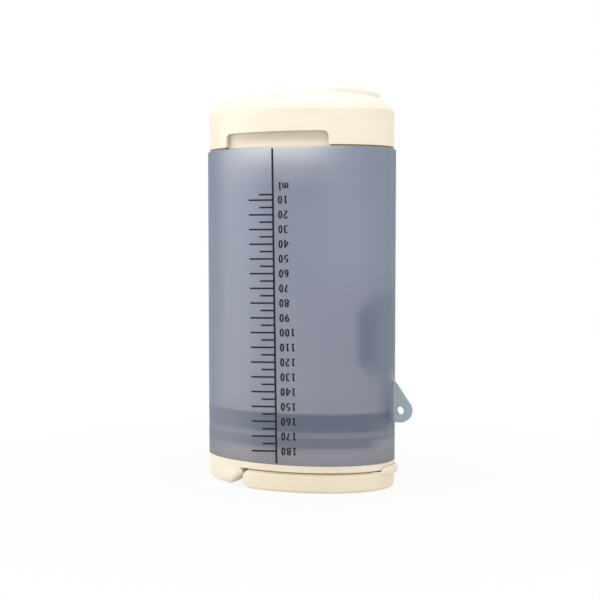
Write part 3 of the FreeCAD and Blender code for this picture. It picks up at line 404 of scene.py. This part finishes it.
def tank_finish(values):
    """Satin see-through plastic: clouded, duller towards the lid's end, darker where light goes deep into it.

    Below the cap's notch a pool of light is painted on, and a painted glow from the rim emits there though
    it is no lamp. Painted highlights make it paler low down on the hinge side and in a narrow band at the
    foot near the ear. Painted shade makes it bluer at the hinge end, dimmer at the ear's end and beside the
    ear, and dimmer in and round the thin window. Over the seal it is darker, partly with the seal's own dark
    colour seen through and partly with painted shade. It is warmer at its foot.
    """
    finish = new_finish("tank_plastic")
    place = finish.place()
    x, y, z = finish.axes(place)
    rise = z - TANK_LOW.z
    beyond_end = x + TANK_LOW.x
    front = y.ramp(0.0, -8 * MM)
    cloud = finish.noise(place, 26 * MM)
    scuffs = finish.noise(place, 7 * MM, 3.0)
    # Painted light: a pool of light on the front's top below the cap's notch.
    rim = z.ramp(TANK_HIGH.z - 16 * MM, TANK_HIGH.z + 2 * MM) * front
    notch_light = rim * x.near(-2 * MM, 8 * MM, 30 * MM)
    # Painted light: an emission from the rim below the notch, though it is no lamp.
    glow = finish.blend(rim ** 3.0 * x.near(3 * MM, 6 * MM, 24 * MM), BLACK, rgba(values.glow))
    # Painted highlights: low on the front's hinge side, and a narrow band at the foot near the ear.
    side = x.near(-16 * MM, 3 * MM, 12 * MM) * front * rise.ramp(85 * MM, 10 * MM)
    foot_streak_highlight = rise.near(6.4 * MM, 0.8 * MM, 2.6 * MM) * beyond_end.ramp(-5 * MM, -1 * MM)
    # Painted shade round the window, on the far side.
    far_side_shade = x.ramp(5 * MM, 20 * MM) * rise.near(38 * MM, 12 * MM, 32 * MM)
    tone = finish.blend(cloud, rgba(values.colour, 0.97), rgba(values.colour, 1.03))
    tone = finish.blend(z.ramp(TANK_HIGH.z, TANK_LOW.z), tone, rgba(values.low_colour))
    # Painted shade on the thin window.
    tone = finish.blend(window_shade_mask(x, y, rise) * values.window_shade, tone, rgba(values.window_shade_colour))
    tone = finish.blend(notch_light * values.notch_light + (side + foot_streak_highlight) * values.painted_highlight, tone, WHITE)
    # Over the seal: painted shade on top of the seal seen through.
    tone = finish.tinted(seal_and_shade_mask(x, beyond_end, rise) * (1 - foot_streak_highlight), tone, rgba(values.seal_tone))
    tone = finish.tinted(rise.ramp(9 * MM, 4 * MM), tone, rgba(values.foot_tone))
    # Painted shade at the hinge end.
    tone = finish.tinted((x - TANK_LOW.x).ramp(12 * MM, 6 * MM), tone, rgba(values.hinge_end_shade))
    tone = finish.tinted(far_side_shade, tone, rgba(values.far_shade_tone))
    tone = ear_tones(finish, values, tone, y, beyond_end, rise)
    deep = finish.out(finish.add("ShaderNodeVolumeAbsorption", None,
                                 {"Color": rgba(values.depth_colour), "Density": values.density}))
    return finish.done(Volume=deep, Surface=finish.plastic({
        "Base Color": tone, "Emission Color": glow, "Emission Strength": 1.0,
        "Roughness": scuffs.ramp(0.3, 0.75, values.satin - 0.02, values.satin + 0.03), "IOR": 1.12,
        "Coat IOR": 1.68, "Coat Roughness": 0.32, "Coat Weight": finish.facing().ramp(0.35, 0.95, 0.6, 0.05),
        "Transmission Weight": values.clarity}))


def white_finish(name, colour, satin, crown_highlight=None, low_shade=None):
    """Moulded white plastic: a fine spark texture, soft flow marks and a slightly uneven gloss.

    With a highlight colour it turns to that on the dome, a painted highlight. With a shade tone it is darker
    away from the hinge, a painted shade.
    """
    finish = new_finish(name)
    place = finish.place()
    x, _, z = finish.axes(place)
    flow = finish.noise(finish.stretched(place, (1.0, 1.0, 2.5)), 18 * MM)
    grain = finish.noise(place, 0.28 * MM, 3.0, 0.6)
    sheen_marks = finish.noise(place, 5 * MM, 3.0)
    tone = finish.blend(flow.ramp(0.3, 0.7), rgba(colour, 0.975), rgba(colour, 1.015))
    # Painted highlight on the dome.
    if crown_highlight:
        tone = finish.blend(z.ramp(CAD_BOX[1].z - 8.5 * MM, CAD_BOX[1].z - 4.5 * MM), tone, rgba(crown_highlight))
    # Painted shade away from the hinge.
    if low_shade:
        low_shade_mask = x.ramp(-25 * MM, 9 * MM) * x.ramp(16 * MM, 32 * MM, 1.0, 0.55)
        tone = finish.tinted(low_shade_mask, tone, rgba(low_shade))
    roughness = sheen_marks.ramp(0.3, 0.7, satin - 0.04, satin + 0.05)
    return finish.done(Surface=finish.plastic({
        "Base Color": tone, "Roughness": roughness, "IOR": 1.5,
        "Normal": finish.bump(grain, 0.006 * MM)}))


def plug_finish(values):
    """The base plug's plastic: paler inside the tank than on its neck, a painted light that brightens the
    tank's top through its wall.

    Painted shade darkens the neck below the cap's notch, and a painted shadow darkens it where the narrow
    seam beside the notch shows it.
    """
    finish = new_finish("plug_white")
    place = finish.place()
    x, _, z = finish.axes(place)
    grain = finish.noise(place, 0.28 * MM, 3.0, 0.6)
    rise = z - TANK_HIGH.z
    # Painted shade on the neck below the notch's ceiling, less on the hinge side.
    shade = rise.ramp(0.2 * MM, 3.4 * MM) * x.ramp(-24 * MM, -4 * MM, 0.55, 1.0)
    neck = finish.blend(shade, rgba(values.neck), rgba(values.neck, 1 - values.neck_shade))
    # Painted shadow where the seam beside the notch shows the neck.
    seam_shadow_mask = (x - NOTCH_X).size().ramp(NOTCH_HALF - 0.4 * MM, NOTCH_HALF + 0.4 * MM)
    neck = finish.tinted(seam_shadow_mask, neck, rgba(values.seam_shade))
    # The plug's paler white inside the tank is painted light.
    tone = finish.blend(rise.ramp(-0.4 * MM, 0.2 * MM), rgba(values.plug), neck)
    return finish.done(Surface=finish.plastic({
        "Base Color": tone, "Roughness": values.satin + 0.12, "IOR": 1.5,
        "Normal": finish.bump(grain, 0.006 * MM)}))


def soft_finish(name, colour):
    """Silicone or rubber: dull, with a fine bloom and a few paler specks."""
    finish = new_finish(name)
    place = finish.place()
    bloom = finish.noise(place, 2.4 * MM, 4.0, 0.6)
    skin = finish.noise(place, 0.2 * MM)
    tone = finish.blend(bloom.ramp(0.35, 0.8), rgba(colour), rgba(colour, 1.25))
    return finish.done(Surface=finish.plastic({
        "Base Color": tone, "Roughness": bloom.ramp(0.2, 0.8, 0.5, 0.7), "IOR": 1.41,
        "Normal": finish.bump(skin, 0.008 * MM)}))


def steel_finish(name, colour, stretch, grain):
    """Drawn or ground steel: fine marks drawn out along one axis."""
    finish = new_finish(name)
    place = finish.place()
    marks = finish.noise(finish.stretched(place, stretch), grain, 3.0, 0.65)
    tone = finish.blend(marks, rgba(colour, 0.82), rgba(colour, 1.1))
    return finish.done(Surface=finish.plastic({
        "Base Color": tone, "Metallic": 1.0, "Roughness": marks.ramp(0.2, 0.8, 0.22, 0.42),
        "Normal": finish.bump(marks, 0.004 * MM)}))


def ink_finish(values):
    """Screen-printed ink: nearly black, thin in places."""
    finish = new_finish("scale_ink")
    place = finish.place()
    body = finish.noise(place, 0.25 * MM, 3.0, 0.6)
    tone = finish.blend(body.ramp(0.5, 0.85), rgba(values.ink), rgba(values.ink, 2.6))
    return finish.done(Surface=finish.plastic({
        "Base Color": tone, "Roughness": body.ramp(0.2, 0.8, 0.55, 0.7), "IOR": 1.3,
        "Normal": finish.bump(body, 0.004 * MM)}))


# ---------------------------------------------------------------- printed scale

INK_LIFT = 0.03 * MM
INK_ROOT = -0.02 * MM
LINE_FOOT = 0.5 * MM
LINE_HEAD = 0.7 * MM
PEN_THICK = 0.215
PEN_THIN = 0.12
STROKE_STATIONS = 17


def arc(middle_x, middle_y, radius_x, radius_y, start, end):
    """Part of an ellipse, from one angle to another in degrees."""
    angle = np.radians(np.linspace(start, end, 2 * STROKE_STATIONS - 1))
    return np.stack([middle_x + radius_x * np.cos(angle), middle_y + radius_y * np.sin(angle)], 1)


def straight(start_x, start_y, end_x, end_y):
    share = np.linspace(0, 1, STROKE_STATIONS)[:, None]
    return (1 - share) * np.array([start_x, start_y]) + share * np.array([end_x, end_y])


def six():
    """The strokes of a 6. Turned upside down they are those of a 9."""
    return [arc(0.30, 0.29, 0.20, 0.25, 0, 360), arc(0.50, 0.33, 0.40, 0.62, 180, 100)]


# Each sign is drawn by pen strokes in a cell 0.6 wide and 1 high.
SIGNS = {
    "0": [arc(0.30, 0.50, 0.19, 0.46, 0, 360)],
    "1": [straight(0.30, 0.04, 0.30, 0.96), straight(0.31, 0.95, 0.13, 0.82),
          straight(0.10, 0.04, 0.50, 0.04)],
    "2": [arc(0.29, 0.72, 0.20, 0.24, 165, -38), straight(0.447, 0.572, 0.10, 0.06),
          straight(0.09, 0.06, 0.52, 0.06)],
    "3": [arc(0.27, 0.74, 0.19, 0.22, 150, -90), arc(0.27, 0.28, 0.22, 0.24, 90, -150)],
    "4": [straight(0.45, 0.96, 0.45, 0.04), straight(0.43, 0.94, 0.00, 0.29),
          straight(-0.01, 0.26, 0.60, 0.26), straight(0.31, 0.04, 0.55, 0.04)],
    "5": [straight(0.15, 0.94, 0.50, 0.94), straight(0.15, 0.94, 0.13, 0.54),
          arc(0.27, 0.31, 0.22, 0.27, 128, -150)],
    "6": six(),
    "7": [straight(0.08, 0.93, 0.52, 0.93), straight(0.51, 0.92, 0.24, 0.04)],
    "8": [arc(0.30, 0.74, 0.17, 0.21, 0, 360), arc(0.30, 0.28, 0.21, 0.24, 0, 360)],
    "9": [np.array([0.60, 1.0]) - stroke for stroke in six()],
    "m": [straight(-0.03, 0.04, -0.03, 0.68), arc(0.13, 0.54, 0.16, 0.13, 180, 0),
          straight(0.29, 0.54, 0.29, 0.04), arc(0.45, 0.54, 0.16, 0.13, 180, 0),
          straight(0.61, 0.54, 0.61, 0.04)],
    "l": [straight(0.30, 0.04, 0.30, 0.96), straight(0.12, 0.04, 0.48, 0.04),
          straight(0.30, 0.94, 0.14, 0.92)],
}


def tank_face(x, z):
    """Y of the tank's front: an ellipse whose half axes grow evenly from the lid's end to the base."""
    share = (z - TANK_LOW.z) / (TANK_HIGH.z - TANK_LOW.z)
    half_width = TANK_FOOT.x + (-TANK_LOW.x - TANK_FOOT.x) * share
    half_depth = TANK_FOOT.y + (TANK_HIGH.y - TANK_FOOT.y) * share
    return -half_depth * np.sqrt(1 - (x / half_width) ** 2)


def on_tank(values, points):
    """X and Z of (across, up) points of the print, which is turned about the foot of its line."""
    across, up = points[:, 0], points[:, 1]
    sine, cosine = math.sin(values.lean), math.cos(values.lean)
    return values.line_x + across * cosine - up * sine, TANK_LOW.z + across * sine + up * cosine


def inked(values, path, half_width):
    """A closed slab of ink along a path of (across, up) points on the tank's front.

    Each station has four corners: left and right of the path by the half width there, each once
    just over the tank's face and once just under it.
    """
    along = np.gradient(path, axis=0)
    along /= np.linalg.norm(along, axis=1)[:, None]
    beside = np.stack([-along[:, 1], along[:, 0]], 1) * half_width[:, None]
    left, right = on_tank(values, path + beside), on_tank(values, path - beside)
    corners = [(left, INK_LIFT), (right, INK_LIFT), (right, INK_ROOT), (left, INK_ROOT)]
    rows = np.stack([np.stack([x, tank_face(x, z) - lift, z], 1) for (x, z), lift in corners], 1)
    count = len(path)
    row = 4 * np.arange(count - 1)[:, None]
    corner = np.arange(4)
    turn = (corner + 1) % 4
    walls = np.stack([row + corner, row + turn, row + 4 + turn, row + 4 + corner], 2).reshape(-1, 4)
    ends = np.array([[3, 2, 1, 0], 4 * (count - 1) + corner])
    return rows.reshape(-1, 3), np.concatenate([walls, ends])


def pen_stroke(values, stroke, place, height):
    """A sign's stroke, upside down at its place: the pen draws upright parts thick and level parts thin."""
    along = np.gradient(stroke, axis=0)
    upright = np.abs(along[:, 1]) / np.linalg.norm(along, axis=1)
    half_width = (PEN_THIN + (PEN_THICK - PEN_THIN) * upright) * height / 2
    return inked(values, np.array(place) - stroke * height, half_width)


def words(values, text, level):
    """Strokes of a text, turned upside down, whose last sign stands nearest to the line."""
    right = values.digit_gap + len(text) * values.digit_pitch
    top = level + values.digit_height / 2
    for index, sign in enumerate(text):
        for stroke in SIGNS[sign]:
            yield pen_stroke(values, stroke, (right - index * values.digit_pitch, top), values.digit_height)


def bar(values, start, end, width):
    """A straight printed line between two (across, up) points."""
    path = straight(*start, *end)
    return inked(values, path, np.full(len(path), width / 2))


def tick(values, level, length):
    """A printed tick to the left of the line: those high up rise a little to the left, low ones fall."""
    tilt = values.tick_fan * (level - values.fan_level)
    return bar(values, (0.0, level), (-length, level + length * tilt), values.tick_width)


def scale_strokes(values):
    """All strokes of the print: the upright line, the ticks of 10 and 5 ml, the numbers and the unit."""
    yield bar(values, (0.0, LINE_FOOT), (0.0, TANK_HIGH.z - TANK_LOW.z - LINE_HEAD), values.line_width)
    count = np.arange(values.tens)
    levels = values.first_level - values.first_step * count - values.step_growth * count * (count - 1) / 2
    halves = np.concatenate([[values.first_level + values.five_rise], (levels[:-1] + levels[1:]) / 2])
    for level in levels:
        yield tick(values, level, values.long_tick)
    for level in halves:
        yield tick(values, level, values.short_tick)
    for index, level in enumerate(levels):
        yield from words(values, str(10 * (index + 1)), level)
    yield from words(values, "ml", values.first_level + values.unit_rise)


def mesh_piece(name, points, faces):
    """A new object in the scene, made of these points and faces."""
    mesh = bpy.data.meshes.new(name)
    mesh.from_pydata(points.tolist(), [], [face.tolist() for face in faces])
    mesh.validate()
    piece = bpy.data.objects.new(name, mesh)
    bpy.context.scene.collection.objects.link(piece)
    return piece


# ---------------------------------------------------------------- vent spring

COIL_STATIONS = 36
COIL_SIDES = 12


def coil(wire, turns):
    """A closed round wire along a helix that fills the vent spring's box.

    The helix has the box's upright middle line as its axis, and its radius is half the box's width less
    the wire's. Round each of its points, COIL_STATIONS to a turn, lies a ring of COIL_SIDES points, in the
    plane across the helix.
    """
    low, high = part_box("vent_spring")
    middle = (low + high) / 2
    radius = (high.y - low.y) / 2 - wire
    rise = high.z - low.z - 2 * wire
    stations = int(turns * COIL_STATIONS) + 1
    share = np.linspace(0, 1, stations)[:, None, None]
    angle = 2 * math.pi * turns * share
    side = np.linspace(0, 2 * math.pi, COIL_SIDES, endpoint=False)[None, :, None]
    zero, one = np.zeros_like(angle), np.ones_like(angle)
    outward = np.concatenate([np.cos(angle), np.sin(angle), zero], 2)
    slope = rise / (2 * math.pi * turns * radius)
    across = np.concatenate([np.sin(angle) * slope, -np.cos(angle) * slope, one], 2)
    across /= math.sqrt(1 + slope ** 2)
    axis = np.array([middle.x, middle.y, low.z + wire]) + np.concatenate([zero, zero, rise * share], 2)
    points = axis + outward * radius + wire * (outward * np.cos(side) + across * np.sin(side))
    ring = COIL_SIDES * np.arange(stations - 1)[:, None]
    corner = np.arange(COIL_SIDES)
    turn = (corner + 1) % COIL_SIDES
    walls = np.stack([ring + turn, ring + corner, ring + COIL_SIDES + corner, ring + COIL_SIDES + turn], 2)
    return points.reshape(-1, 3), [*walls.reshape(-1, 4), corner, COIL_SIDES * (stations - 1) + corner[::-1]]


# ---------------------------------------------------------------- operators

class BOTTLE_OT_tank(bpy.types.Operator):
    """Smoky blue see-through plastic on the tank"""
    bl_idname = "bottle.tank"
    bl_label = "Tank"

    def execute(self, context):
        dress(tank_finish(context.scene.bottle_tank), "tank")
        return {"FINISHED"}


class BOTTLE_OT_white_parts(bpy.types.Operator):
    """Warm white plastic on the cap, button, collar, hinge block and lid"""
    bl_idname = "bottle.white_parts"
    bl_label = "White parts"

    def execute(self, context):
        values = context.scene.bottle_white
        outer, satin = values.outer, values.satin
        dress(white_finish("body_white", outer, satin), "hinge_block")
        # The cap's finish has a painted highlight on the dome, and the collar's and lid's a painted shade
        # away from the hinge.
        dress(white_finish("cap_white", outer, satin, crown_highlight=values.crown_highlight), "base_cap", "vent_button")
        dress(white_finish("low_white", outer, satin, low_shade=values.low_shade), "mouth_collar", "lid")
        return {"FINISHED"}


class BOTTLE_OT_inner_parts(bpy.types.Operator):
    """Duller white plastic on the plug, liner, valve seat and vent stem"""
    bl_idname = "bottle.inner_parts"
    bl_label = "Inner parts"

    def execute(self, context):
        values = context.scene.bottle_white
        dress(white_finish("inner_white", values.inner, values.satin + 0.12),
              "lid_liner", "valve_seat", "vent_stem")
        dress(plug_finish(values), "base_plug")
        return {"FINISHED"}


class BOTTLE_OT_seals(bpy.types.Operator):
    """Rubber and silicone on the seals and the flap"""
    bl_idname = "bottle.seals"
    bl_label = "Seals and flap"

    def execute(self, context):
        values = context.scene.bottle_soft
        dress(soft_finish("dark_seal", values.dark), "collar_seal")
        dress(soft_finish("soft_white", values.pale),
              "base_seal", "lid_gasket", "vent_seal", "non_return_flap")
        return {"FINISHED"}


class BOTTLE_OT_metal_parts(bpy.types.Operator):
    """Steel on the screws and pins, and a steel coil as the vent spring"""
    bl_idname = "bottle.metal_parts"
    bl_label = "Metal parts"

    def execute(self, context):
        values = context.scene.bottle_metal
        steel = values.steel
        dress(steel_finish("screw_steel", steel, (1.0, 1.0, 0.2), 0.3 * MM), "hinge_block_screws")
        dress(steel_finish("pin_steel", steel, (1.0, 0.05, 1.0), 0.2 * MM), "hinge_pin", "flap_pin")
        spring = mesh_piece("vent_coil", *coil(values.wire, values.turns))
        for face in spring.data.polygons:
            face.use_smooth = len(face.vertices) == 4
        spring.data.materials.append(steel_finish("spring_steel", steel, (1.0, 1.0, 1.0), 0.25 * MM))
        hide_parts("vent_spring")
        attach(spring, "base")
        low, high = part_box("vent_spring")
        joints = frame["record"]["behaviour"]["joints"]
        press = next(joint for joint in joints if joint["name"] == "vent_press")
        1 - press["range_m"][1] / (high.z - low.z)
        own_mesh(spring)
        return {"FINISHED"}


class BOTTLE_OT_scale(bpy.types.Operator):
    """Printed millilitre scale on the tank's front"""
    bl_idname = "bottle.scale"
    bl_label = "Printed scale"

    def execute(self, context):
        values = context.scene.bottle_scale
        strokes = list(scale_strokes(values))
        starts = np.cumsum([0] + [len(points) for points, _ in strokes[:-1]])
        piece = mesh_piece("printed_scale", np.concatenate([points for points, _ in strokes]),
                           np.concatenate([faces + start for (_, faces), start in zip(strokes, starts)]))
        piece.data.materials.append(ink_finish(values))
        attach(piece, "bottle")
        return {"FINISHED"}


FLOOR_RADIUS = 4.0
FLOOR_CORNERS = 96
# Between these distances from the origin the floor goes over to plain white, from a share of 0.90.
FLOOR_NEAR, FLOOR_FAR = 0.03, 0.20
FLOOR_NEAR_WHITE = 0.90
# Each lamp's place and the width of its disc, in metres.
LAMPS = {
    "key": ((-0.95, -0.55, 0.18), 0.9),
    "fill": ((0.80, -0.80, 0.30), 1.2),
    "top": ((0.10, -0.20, 1.00), 0.7),
}


class BOTTLE_OT_stage(bpy.types.Operator):
    """Pale floor, soft light and the camera"""
    bl_idname = "bottle.stage"
    bl_label = "Stage"

    def execute(self, context):
        values = context.scene.bottle_stage
        self.floor(values)
        self.room(context.scene, values)
        for name, (place, width) in LAMPS.items():
            self.lamp(name + "_lamp", place, width, getattr(values, name))
        self.camera(context.scene, values)
        context.scene.view_settings.view_transform = "Standard"
        return {"FINISHED"}

    def floor(self, values):
        """A wide disc under the bottle: it takes the bottle's shade, and further out it is plain white."""
        angle = np.linspace(0, 2 * math.pi, FLOOR_CORNERS, endpoint=False)
        rim = FLOOR_RADIUS * np.stack([np.cos(angle), np.sin(angle), np.zeros(FLOOR_CORNERS)], 1)
        mesh = bpy.data.meshes.new("floor")
        mesh.from_pydata(rim.tolist(), [], [list(range(FLOOR_CORNERS))])
        floor = bpy.data.objects.new("floor", mesh)
        bpy.context.scene.collection.objects.link(floor)
        finish = new_finish("floor_white")
        seen = self.seen(finish)
        place = finish.place()
        x, y, _ = finish.axes(place)
        reach = (x * x + y * y) ** 0.5
        paper = finish.noise(place, 3 * MM, 3.0)
        tone = finish.blend(paper, rgba(values.floor, 0.99), rgba(values.floor, 1.01))
        matt = finish.out(finish.add("ShaderNodeBsdfDiffuse", None, {"Color": tone}))
        glow = finish.out(finish.add("ShaderNodeEmission", None, {"Color": WHITE, "Strength": 1.0}))
        white = seen * reach.ramp(FLOOR_NEAR, FLOOR_FAR, FLOOR_NEAR_WHITE, 1.0)
        mix = finish.add("ShaderNodeMixShader", None, {0: white, 1: matt, 2: glow})
        mesh.materials.append(finish.done(Surface=finish.out(mix)))

    def seen(self, finish):
        """1 for what the camera sees straight, in a reflection or through the tank, and 0 for light."""
        path = finish.add("ShaderNodeLightPath")
        rays = [finish.out(path, name) for name in ("Is Camera Ray", "Is Glossy Ray", "Is Transmission Ray")]
        return (rays[0] + rays[1] + rays[2]).math("MINIMUM", 1.0)

    def room(self, scene, values):
        """An even white room that the camera sees at full strength and the bottle is lit by less."""
        world = bpy.data.worlds.new("room")
        scene.world = world
        finish = Finish(world)
        seen = self.seen(finish)
        glow = finish.out(finish.add("ShaderNodeBackground", None, {
            "Color": WHITE, "Strength": seen * (1 - values.ambient) + values.ambient}))
        finish.add("ShaderNodeOutputWorld", None, {"Surface": glow})

    def lamp(self, name, place, width, power):
        """A round lamp that shines at the bottle's middle."""
        light = bpy.data.lights.new(name, "AREA")
        light.shape = "DISK"
        light.size = width
        light.energy = power
        lamp = bpy.data.objects.new(name, light)
        bpy.context.scene.collection.objects.link(lamp)
        middle = (CAD_BOX[0] + CAD_BOX[1]) / 2
        lamp.location = place
        lamp.rotation_euler = (middle - lamp.location).to_track_quat("-Z", "Y").to_euler()

    def camera(self, scene, values):
        """A camera turned and tilted towards the bottle, from its distance, height and step sideways."""
        data = bpy.data.cameras.new("camera")
        data.sensor_width = 36
        data.lens = values.lens
        data.clip_start = 0.01
        data.clip_end = 20
        camera = bpy.data.objects.new("camera", data)
        scene.collection.objects.link(camera)
        sine, cosine = math.sin(values.azimuth), math.cos(values.azimuth)
        camera.location = (values.distance * sine + values.side * cosine,
                           -values.distance * cosine + values.side * sine, values.height)
        camera.rotation_euler = (math.pi / 2 - values.tilt, 0, values.azimuth)
        scene.camera = camera


STEPS = [BOTTLE_OT_tank, BOTTLE_OT_white_parts, BOTTLE_OT_inner_parts, BOTTLE_OT_seals,
         BOTTLE_OT_metal_parts, BOTTLE_OT_scale, BOTTLE_OT_stage]
SETTINGS = {"bottle_tank": TankFinish, "bottle_white": WhiteFinish, "bottle_soft": SoftFinish,
            "bottle_metal": MetalFinish, "bottle_scale": ScalePrint, "bottle_stage": StageSet}


class BOTTLE_PT_steps(bpy.types.Panel):
    """Lists the steps that dress the bottle, and their sizes and colours"""
    bl_idname = "BOTTLE_PT_steps"
    bl_label = "Bottle"
    bl_space_type = "VIEW_3D"
    bl_region_type = "UI"
    bl_category = "Bottle"

    def draw(self, context):
        for step in STEPS:
            self.layout.operator(step.bl_idname)
        for name, group in SETTINGS.items():
            for value in group.__annotations__:
                self.layout.prop(getattr(context.scene, name), value)


def register():
    for group in SETTINGS.values():
        bpy.utils.register_class(group)
    for name, group in SETTINGS.items():
        setattr(bpy.types.Scene, name, PointerProperty(type=group))
    for step in [*STEPS, BOTTLE_PT_steps]:
        bpy.utils.register_class(step)


def unregister():
    for step in reversed([*STEPS, BOTTLE_PT_steps]):
        bpy.utils.unregister_class(step)
    for name in SETTINGS:
        delattr(bpy.types.Scene, name)
    for group in reversed(SETTINGS.values()):
        bpy.utils.unregister_class(group)


def main():
    register()
    for step in STEPS:
        family, name = step.bl_idname.split(".")
        getattr(getattr(bpy.ops, family), name)()


if __name__ == "__main__":
    main()
